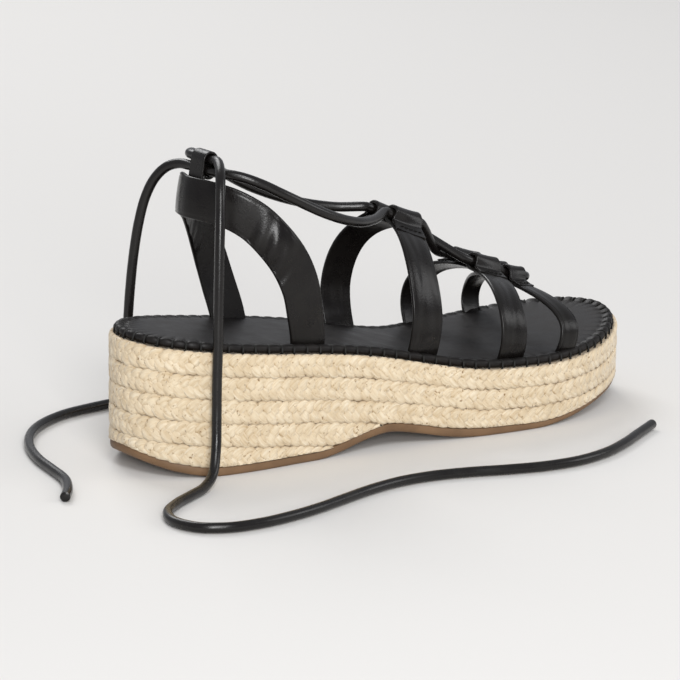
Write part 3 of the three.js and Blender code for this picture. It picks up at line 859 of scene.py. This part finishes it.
# %% Whip stitches
THREAD_RADIUS = 0.45
STITCH_SLANT = 0.9
STITCH_SUNK = 0.35
STITCH_WAY = [(0.9, -1.6), (-0.35, -0.5), (-0.75, 1.0), (-0.5, 2.5), (0.5, 3.3), (1.9, 3.45),
              (3.1, 2.9), (3.6, 2.0)]
skin = Skin()
line, inward = outline(FOOTBED_INSET, 1000)
slants = way_on(line, closed=True) * STITCH_SLANT
steps = np.linspace(-0.5, 0.5, len(STITCH_WAY))
for number in range(STITCHES):
    at = int(round(number * len(line) / STITCHES)) % len(line)
    base = footbed_low(line[at, 0]) - STITCH_SUNK
    stitch = [line[at] + inward[at] * reach + slants[at] * step + np.array([0, 0, base + height])
              for step, (reach, height) in zip(steps, STITCH_WAY)]
    add_tube(skin, evenly(curve_through(stitch, 6)[0], 12)[0], THREAD_RADIUS, 6)
skin.piece("whip_stitches", thread, "footbed_leather", sharp=60)

# %% [markdown]
# ## Straps
# A leather strap is a band 1.6 to 1.8 mm thick with turned edges: a cushion of leather, a fine
# line where the edge is folded and glued, and a rounded side. `add_band` sweeps that section
# along a line. The wide face may also carry relief in the strap's own sizes, a height for each
# place along it and across it, and that is how creases are put in as soft troughs. A
# subdivided plank with a sculpt brush would crease too, but not twice in the same way.

# %% Band
BAND_COLUMNS = 27
EDGE_LINE = 1.3
FOLD_DEPTH = 0.16
CUSHION_HEIGHT = 0.05
SIDE_ROUND = 0.8


def band_section(width, thick):
    """One section as (across, out) pairs, anticlockwise, and how much relief each point takes."""
    lip = thick / 2
    straight = width / 2 - lip * SIDE_ROUND
    flat = np.linspace(-1, 1, BAND_COLUMNS) * straight
    turn = np.radians([68, 40, 13, -13, -40, -68])
    side = np.stack([straight + lip * SIDE_ROUND * np.cos(turn), lip * np.sin(turn)], 1)
    face = np.stack([-flat, np.full(BAND_COLUMNS, lip)], 1)
    back = np.stack([flat, np.full(BAND_COLUMNS, -lip)], 1)
    points = np.vstack([face, side * [-1, 1], back, side[::-1]])
    none = np.zeros(len(turn))
    return points, np.r_[np.ones(BAND_COLUMNS), none, -np.ones(BAND_COLUMNS), none]


def add_band(skin, line, across, width, thick, relief=None, crown=0.0, skive=1.0):
    """A strap along a line. across points to its left edge, and its face lies along way x across.
    relief(run, place) gives heights in mm, with place from -1 to 1 across the strap. crown
    arches it, and skive thins it down, with a value for each point of the line."""
    way = way_on(line)
    across = square_to(way, across)
    out = np.cross(way, across)
    section, weight = band_section(width, thick)
    place = section[:, 0] / (width / 2)
    run = run_of(line)
    face = weight > 0
    arch = 1 - place**2
    fold = FOLD_DEPTH * bump_at((1 - np.abs(place)) * width / 2, EDGE_LINE, 0.22)
    lift = np.tile((CUSHION_HEIGHT * arch - fold) * face + crown * arch, (len(line), 1))
    if relief is not None:
        moved = relief(run[:, None], place[None, :])
        lift += np.where(face, moved, moved * 0.8) * (weight != 0)
    rings = (line[:, None] + across[:, None] * section[None, :, 0, None]
             + out[:, None] * (section[None, :, 1] * np.reshape(skive, (-1, 1)) + lift)[..., None])
    around = np.r_[0, np.cumsum(np.linalg.norm(np.diff(section, axis=0), axis=1))]
    skin.sweep(rings, run, np.r_[around, around[-1] + 0.5])


# %% [markdown]
# ## Heel strap
# One band leaves the footbed on both sides of the heel, leans back as it climbs, and passes
# behind the ankle. The table has a row for each fold of one half: where the band's middle is,
# and how far its face has turned from sideways (0) to backwards (90). Leather that turns like
# this on the flat gathers on its inner edge, so a few soft diagonal creases sit where the
# band bends over the ankle bone, strongest near the lower edge and calmer on the inner side.
# Between them the leather puffs out a little, where the ankle bone pushed it. Pinned cloth
# could be draped for this, but a table of folds gives the same band each time.

# %% Heel strap tables
HEEL_STRAP_THICK = 1.8
HEEL_STRAP_WIDTH = 17.5
HEEL_STRAP_LEAN = math.radians(9)
HEEL_STRAP_BACK = (33.8, 0, 114.3)
HEEL_STRAP = [
    (78, 74.5, 26, 42, 0), (76.5, 73, 28.2, 54, 1), (73, 70.5, 31, 66, 4),
    (69.5, 67.5, 32.6, 77.5, 8), (64.5, 63, 31.8, 88.5, 16), (58, 57.5, 29.3, 98, 27),
    (51, 51, 25, 106, 37), (43.2, 43.2, 18.8, 111.4, 49), (37.2, 37.2, 10.8, 113.7, 65)]
HEEL_CREASES = [  # run from the footbed, lean, width and depth, in mm
    (36, 4.0, 2.6, 0.4), (43.5, 5.0, 2.2, 0.9), (51, 5.5, 2.0, 1.1), (59, 4.5, 2.2, 1.0),
    (67, 3.0, 2.8, 0.6)]
HEEL_PUFF = (52, 10, 2.3)  # run, width and height
CALM_SIDE = 0.3
HEEL_CROWN = 0.35


# %% Heel strap piece
def heel_line(count):
    """The band's line over the whole heel, and the way its face looks at each point."""
    lateral = [(lx, -y, z) for lx, mx, y, z, facing in HEEL_STRAP]
    medial = [(mx, y, z) for lx, mx, y, z, facing in HEEL_STRAP][::-1]
    turns = [row[4] for row in HEEL_STRAP]
    turns = turns + [90] + [180 - turn for turn in turns[::-1]]
    dense, rows = curve_through(lateral + [HEEL_STRAP_BACK] + medial)
    line, rows = evenly(dense, count, rows)
    turn = np.radians(np.interp(rows, np.arange(len(turns)), turns))
    facing = np.stack([-np.sin(turn), -np.cos(turn), np.sin(turn) * math.sin(HEEL_STRAP_LEAN)], 1)
    return line, facing


def heel_relief(run, place):
    """Creases and puff on both halves, the medial one calmer."""
    height = np.zeros(np.broadcast(run, place).shape)
    for mirror, strength in ((run, 1.0), (run.max() - run, CALM_SIDE)):
        for at, lean, wide, deep in HEEL_CREASES:
            lower = 0.25 + 0.75 * np.clip((place + 0.5) / 1.2, 0, 1)
            height -= strength * deep * lower * bump_at(mirror + lean * place, at, wide)
        at, wide, high = HEEL_PUFF
        height += strength * high * bump_at(mirror, at, wide) * (1 - place**2)
    return height


skin = Skin()
line, facing = heel_line(230)
showing = line[:, 2] > footbed_low(line[:, 0])
line, facing = line[showing], facing[showing]
way = way_on(line)
across = np.cross(square_to(way, facing), way)
add_band(skin, line, across, HEEL_STRAP_WIDTH, HEEL_STRAP_THICK, heel_relief, HEEL_CROWN)
skin.piece("heel_strap_band", strap_leather, "strap_leather", ["heel_strap"], sharp=60)

# %% [markdown]
# ## Heel loop
# A narrow strip is folded over the two laces and sewn down on the inside of the heel strap. It
# stands a little above the strap's edge, leaning with it. The line runs up from its tail,
# round an upright oval, and back down along itself. A bent box would hold the laces too, but
# the strap's own section gives the strip its turned edges.

# %% Heel loop piece
LOOP_PLACE = np.array([42, 0, 127.5])
LOOP_BORE = 2.55
LOOP_WALL = 1.2
LOOP_WIDTH = 10.0
LOOP_STRANDS = 4.6
LOOP_TAIL = 18.0


def leaning(points):
    """Points (x, z) beside the loop's middle, tipped back with the heel strap."""
    points = np.asarray(points, float)
    c, s = math.cos(HEEL_STRAP_LEAN), math.sin(HEEL_STRAP_LEAN)
    return LOOP_PLACE + np.stack([points[:, 0] * c + points[:, 1] * s,
                                  np.zeros(len(points)), points[:, 1] * c - points[:, 0] * s], 1)


middle = LOOP_BORE + LOOP_WALL / 2
straight = LOOP_STRANDS / 2
over = [(-middle * math.cos(t), straight + middle * math.sin(t)) for t in np.linspace(0, math.pi, 9)]
under = [(middle * math.cos(t), -straight - middle * math.sin(t))
         for t in np.linspace(0, math.pi * 0.72, 7)]
second = -middle + LOOP_WALL
loop_line = leaning([(-middle, -LOOP_TAIL), (-middle, -12), (-middle, -6), (-middle, 0)] + over
                    + [(middle, 0)] + under + [(second - 0.2, -7.6), (second, -10), (second, -15.5)])
line, = evenly(curve_through(loop_line)[0], 90)
skin = Skin()
add_band(skin, line, np.tile((0.0, -1.0, 0.0), (len(line), 1)), LOOP_WIDTH, LOOP_WALL)
skin.piece("heel_loop_strip", strap_leather, "strap_leather", ["heel_loop"], sharp=60)

# %% [markdown]
# ## Instep straps
# Each instep strap comes up through the footbed, hugs the foot's form and stops beside the
# ridge, where it is turned over a lace and sewn to itself: a tunnel. The foot is gone, but the
# straps keep its shape, so the table of the last's sections gives every point of them. The
# band's line goes up the last, round the bore, and back over itself for 10 mm, where the flap
# is skived thin and held by a row of stitches. The rear and middle straps are soft and
# doubled, so they carry two long creases, and all of them have a short cross-crease where
# they dip into the footbed.

# %% Last and strap tables
STRAP_THICK = 1.6
BORE_RADIUS = 2.6
FOLD_LENGTH = 10.0
SKIVING = 0.55
SEAM_PLACE = 7.6
SEAM_HEIGHT = 1.85
SEAM_THREAD = 0.25
SEAM_PITCH = 2.4
STRAP_CROWN = 0.3
STRAP_STEP = 0.6
TUCK = 5.5
RIDGE = 4.0
TUNNEL_APART = 11.2
BELLY = 0.28
TUCK_SHARE = 0.2
SINK = 6.0
LAST = {  # place along the foot: half widths, height of the ridge, exponent of the arch
    "lateral": [(120, 34), (145, 36), (168, 39), (190, 41), (210, 40.5), (240, 33)],
    "medial": [(120, 29.5), (145, 32), (168, 36.5), (190, 40.5), (210, 42.5), (240, 41)],
    "height": [(120, 66), (145, 53), (168, 40.5), (190, 31), (210, 23), (240, 18)],
    "round": [(120, 1.6), (145, 1.7), (168, 1.9), (190, 2.1), (210, 2.2), (240, 2.2)]}
STRAPS = [  # name, side, base, top, bow towards the toe, width
    ("rear_lateral", -1, 135, 144, 0, 16), ("rear_medial", 1, 133, 144, 0, 16),
    ("middle_lateral", -1, 179, 189, 0, 14), ("middle_medial", 1, 183, 189, 0, 14),
    ("toe_lateral", -1, 208, 206.5, 3, 10), ("toe_medial", 1, 217, 206.5, 2, 10)]


# %% Line of a strap
def last_point(x, side, u):
    """Point of the last's surface, from under the footbed (0) over its bulge to the ridge (1)."""
    bulge = along(LAST["lateral" if side < 0 else "medial"], x)
    height = along(LAST["height"], x)
    base = footbed_top(x)
    belly = BELLY * height
    if u < TUCK_SHARE:
        rise = u / TUCK_SHARE
        y = bulge - TUCK * (1 - math.sin(rise * math.pi / 2))
        return x, side * y, base - SINK + (belly + SINK) * rise
    turn = (u - TUCK_SHARE) / (1 - TUCK_SHARE) * math.pi / 2
    power = 2 / along(LAST["round"], x)
    half = bulge + (RIDGE if side < 0 else -RIDGE)
    y = half * max(math.cos(turn), 0) ** power
    return x, RIDGE + side * y, base + belly + (height - belly) * math.sin(turn) ** power


def strap_line(side, base, top, bow):
    """The strap's middle line on the last, and the way its face looks at each point."""
    points = []
    for u in np.linspace(0, 1, 91):
        climb = min(u * u / 0.8, 1)
        climb = climb * climb * (3 - 2 * climb)
        x = base + (top - base) * climb + bow * math.sin(math.pi * min(u / 0.9, 1))
        point = last_point(x, side, u)
        if side * (point[1] - RIDGE) < TUNNEL_APART / 2:
            break
        points.append(point)
    line, = evenly(curve_through(points, 3)[0], 120)
    way = way_on(line)
    x = line[:, 0]
    fall = unit(np.stack([np.full(len(x), 10.0), 0 * x,
                          along(LAST["height"], x + 5) - along(LAST["height"], x - 5)], 1))
    lean = 0.25 + 0.6 * np.linspace(0, 1, len(line))
    forward = unit(np.stack([np.ones(len(x)), 0 * x, fall[:, 2] * lean], 1))
    out = unit(np.cross(way, forward) * side)
    return line, out


def tunnel_of(name):
    """Middle of a strap's bore, its direction towards the toe, and half the strap's width."""
    side, base, top, bow, width = next(row[1:] for row in STRAPS if row[0] == name)
    line, out = strap_line(side, base, top, bow)
    way = unit(line[-1] - line[-2])
    axis = np.cross(out[-1], way)
    middle = line[-1] + out[-1] * (BORE_RADIUS + STRAP_THICK / 2)
    return middle, axis * np.sign(axis[0]), width / 2


# %% Strap creases
CREASES = {  # place across, width and depth
    "rear": [(-0.3, 0.28, 0.26), (0.36, 0.2, 0.24)],
    "middle": [(-0.05, 0.3, 0.3), (0.5, 0.18, 0.14)],
    "toe": [(0.05, 0.35, 0.15)]}
DIP_PLACE, DIP_REACH, DIP_DEPTH = 7.5, 2.4, 0.16


def strap_relief(kind, whole, seed):
    """Long creases that wander and fade towards the tunnel, and a dip at the footbed."""
    chance = np.random.default_rng(seed)
    waves = chance.uniform(0, 6, len(CREASES[kind]))

    def relief(run, place):
        height = 0 * run * place
        fade = np.clip(run / 9, 0.15, 1) * np.clip((whole - 3 - run) / 12, 0, 1)
        for wave, (at, wide, deep) in zip(waves, CREASES[kind]):
            path = at + 0.16 * np.sin(run / 12 + wave) + 0.05 * np.sin(run / 5.1 + 2 * wave)
            height = height - deep * fade * bump_at(place, path, wide)
            height = height + 0.35 * deep * fade * bump_at(place, path + 2.1 * wide, wide)
        return height - DIP_DEPTH * bump_at(run, DIP_PLACE, DIP_REACH) * (1 - 0.5 * place**2)
    return relief


# %% Fold and seam
LOOP_TURNS = np.radians(np.arange(20, 251, 23))
FLAP_PLACES = np.array([4.6, 6.4, 8.2, FOLD_LENGTH + 0.5])
FLAP_LIFTS = STRAP_THICK * np.array([1.22, 0.98, 0.84, 0.76])
STITCH_ARC = [(-0.9, -0.5), (-0.75, 0), (0.75, 0), (0.9, -0.5)]


def folded(line, out, edge):
    """The strap's line carried on round the bore and back over itself, and its way across."""
    run = run_of(line)
    radius = BORE_RADIUS + STRAP_THICK / 2
    loop = line[-1] + radius * (np.sin(LOOP_TURNS)[:, None] * way_on(line)[-1]
                                + (1 - np.cos(LOOP_TURNS))[:, None] * out[-1])
    back = np.round(np.interp(run[-1] - FLAP_PLACES, run, np.arange(len(line)))).astype(int)
    flap = line[back] + out[back] * FLAP_LIFTS[:, None]
    dense = curve_through(np.vstack([line[:-2:3], line[-1], loop, flap]), 10)[0]
    full, = evenly(dense, int(run_of(dense)[-1] / STRAP_STEP))
    distance = run_of(full)
    to_back = np.clip((distance - run[-1] - 2 * math.pi * radius * 0.6) / 6, 0, 1)[:, None]
    return full, unit(picked_at(distance, run, edge) * (1 - to_back) + edge[back[-1]] * to_back)


def add_tunnel_seam(skin, line, out, edge, width):
    """A row of stitches across the strap, which holds the flap down."""
    run = run_of(line)
    at = int(np.interp(run[-1] - SEAM_PLACE, run, np.arange(len(line))))
    for offset in np.arange(-width / 2 + SEAM_PITCH, width / 2 - SEAM_PITCH + 0.2, SEAM_PITCH):
        arc = [line[at] + edge[at] * (offset + reach) + out[at] * (SEAM_HEIGHT + rise)
               for reach, rise in STITCH_ARC]
        add_tube(skin, evenly(curve_through(arc, 6)[0], 9)[0], SEAM_THREAD, 6)


# %% Strap pieces
seams = Skin()
for seed, (name, side, base, top, bow, width) in enumerate(STRAPS):
    line, out = strap_line(side, base, top, bow)
    kept = line[:, 2] > footbed_low(line[:, 0])
    line, out = line[kept], out[kept]
    edge = np.cross(out, way_on(line))
    full, across = folded(line, out, edge)
    left = run_of(full)[-1] - run_of(full)
    skive = 1 - SKIVING * np.clip((FOLD_LENGTH * 0.7 - left) / 5, 0, 1)
    relief = strap_relief(name.split("_")[0], run_of(line)[-1], seed)
    skin = Skin()
    add_band(skin, full, across, width, STRAP_THICK, relief, STRAP_CROWN, skive)
    skin.piece(f"strap_{name}_band", strap_leather, "strap_leather", [f"strap_{name}"], sharp=60)
    add_tunnel_seam(seams, line, out, edge, width)
seams.piece("tunnel_seams", thread, "strap_leather", sharp=60)

# %% [markdown]
# ## Lace
# One round cord does all the holding. From the heel loop each end runs forward along the side
# of the ankle, through its rear tunnel, across the other end to the opposite middle and toe
# tunnels, and the two ends are one bar across the toes. So the whole lace is a single tube on
# a single line: the lateral half out, and the medial half back. At the crossing one half
# passes over the other in a low hump. A rope simulation would have to find its own way
# through the tunnels, so the points are read off the straps instead.

# %% Lace piece
LACE_SAG = 2.5
CROSSING_LIFT = 2.15
LACE_START = 2.5
STRAIGHT = 3  # how far the lace runs on beyond a tunnel's mouth
CROSS_REACH = 4
TOE_MOUTH, TOE_BEND, TOE_FRONT = 1.5, 4.6, 5.9
TOE_BAR = 3.6
LACE_LATERAL = [(43, -12, 125.3), (48.5, -18, 124.3), (56, -22.8, 121.2), (67, -26.8, 115.3),
                (87, -27.5, 105.5), (107, -21.5, 98.8), (123, -12, 96.4)]
LACE_MEDIAL = [(43, 12, 129.8), (48.5, 18, 128.4), (56, 22.8, 124.5), (67, 26.8, 117.6),
               (87, 28, 106.8), (107, 24.5, 99.4), (123, 17.5, 96.4)]


def lace_half(side):
    """Points of one half of the lace, from the heel loop to the middle of the toe bar."""
    near, far = ("lateral", "medial")[::-side]
    rear, middle, toe = [tunnel_of(n) for n in (f"rear_{near}", f"middle_{far}", f"toe_{far}")]

    def place(tunnel, reach):
        return tunnel[0] + tunnel[1] * reach

    def through(tunnel, *reaches):
        return [place(tunnel, reach) for reach in reaches]

    half = rear[2]
    cross = (place(rear, half + CROSS_REACH) + place(middle, -middle[2] - CROSS_REACH)) / 2
    cross = np.array([cross[0], RIDGE, cross[2] + side * CROSSING_LIFT - LACE_SAG])
    bend, front = through(toe, toe[2] + TOE_BEND, toe[2] + TOE_FRONT)
    bend[1] = RIDGE - side * TOE_BAR
    front[1] = RIDGE + side
    in_loop = leaning([(0, side * LOOP_STRANDS / 2)])[0]
    loop = [in_loop + np.array([0, side * y, 0]) for y in (-LACE_START, 0, LOOP_WIDTH / 2 + GAP)]
    return (loop + (LACE_LATERAL if side < 0 else LACE_MEDIAL)
            + through(rear, -half - STRAIGHT, -half, half, half + STRAIGHT) + [cross]
            + through(middle, -middle[2] - STRAIGHT, -middle[2], middle[2])
            + through(toe, -toe[2], toe[2], toe[2] + TOE_MOUTH) + [bend, front])


skin = Skin()
route = lace_half(-1) + lace_half(1)[::-1]
line = add_cord(skin, route, 9)
skin.piece("lace_cord", cord_leather, "lace_cord", ["lace"])
print("lace", round(run_of(line)[-1]), "mm from loop to loop")

# %% [markdown]
# ## Floor and light
# A plain pale floor and soft studio light let the materials speak. There are four soft boxes:
# a high one and a low one by the camera give the leather its long highlights and model the
# plait, a wide one behind outlines the straps, and a weak one fills the toe's side. A dim even
# world keeps the shadows open. A sun would be simpler, but its hard shadows would hide the
# creases.

# %% Floor
FLOOR_HALF = 8.0
corners = [(x * FLOOR_HALF, y * FLOOR_HALF, 0) for x, y in ((-1, -1), (1, -1), (1, 1), (-1, 1))]
floor_mesh = bpy.data.meshes.new("floor")
floor_mesh.from_pydata(corners, [], [(0, 1, 2, 3)])
floor = bpy.data.objects.new("floor", floor_mesh)
bpy.context.scene.collection.objects.link(floor)
pale = Finish("pale_floor", Roughness=0.8, Specular_IOR_Level=0.3)
pale.shader.inputs["Base Color"].default_value = (0.70, 0.685, 0.662, 1)
floor_mesh.materials.append(pale.material)
print("floor", 2 * FLOOR_HALF, "m wide")

# %% Lights
SOFT_BOXES = [  # name, place, size in metres and power in watts
    ("key", (-0.75, -1.55, 1.6), 0.75, 21), ("low front", (-1.05, -1.8, 0.66), 0.6, 23),
    ("back", (0.3, 1.6, 1.6), 1.1, 22), ("side", (1.5, -1.1, 0.9), 0.9, 7)]

for name, place, size, power in SOFT_BOXES:
    light = bpy.data.objects.new(name, bpy.data.lights.new(name, "AREA"))
    bpy.context.scene.collection.objects.link(light)
    light.data.energy = power
    light.data.size = size
    light.location = place
    light.rotation_euler = (-Vector(place)).to_track_quat("-Z", "Y").to_euler()
print(len(SOFT_BOXES), "soft boxes")

# %% World
WORLD_TONE, WORLD_STRENGTH = (0.93, 0.95, 1.0, 1), 0.46
world = bpy.data.worlds.new("studio")
bpy.context.scene.world = world
world.use_nodes = True
sky = world.node_tree.nodes["Background"]
sky.inputs["Color"].default_value = WORLD_TONE
sky.inputs["Strength"].default_value = WORLD_STRENGTH
bpy.context.scene.view_settings.view_transform = "Standard"
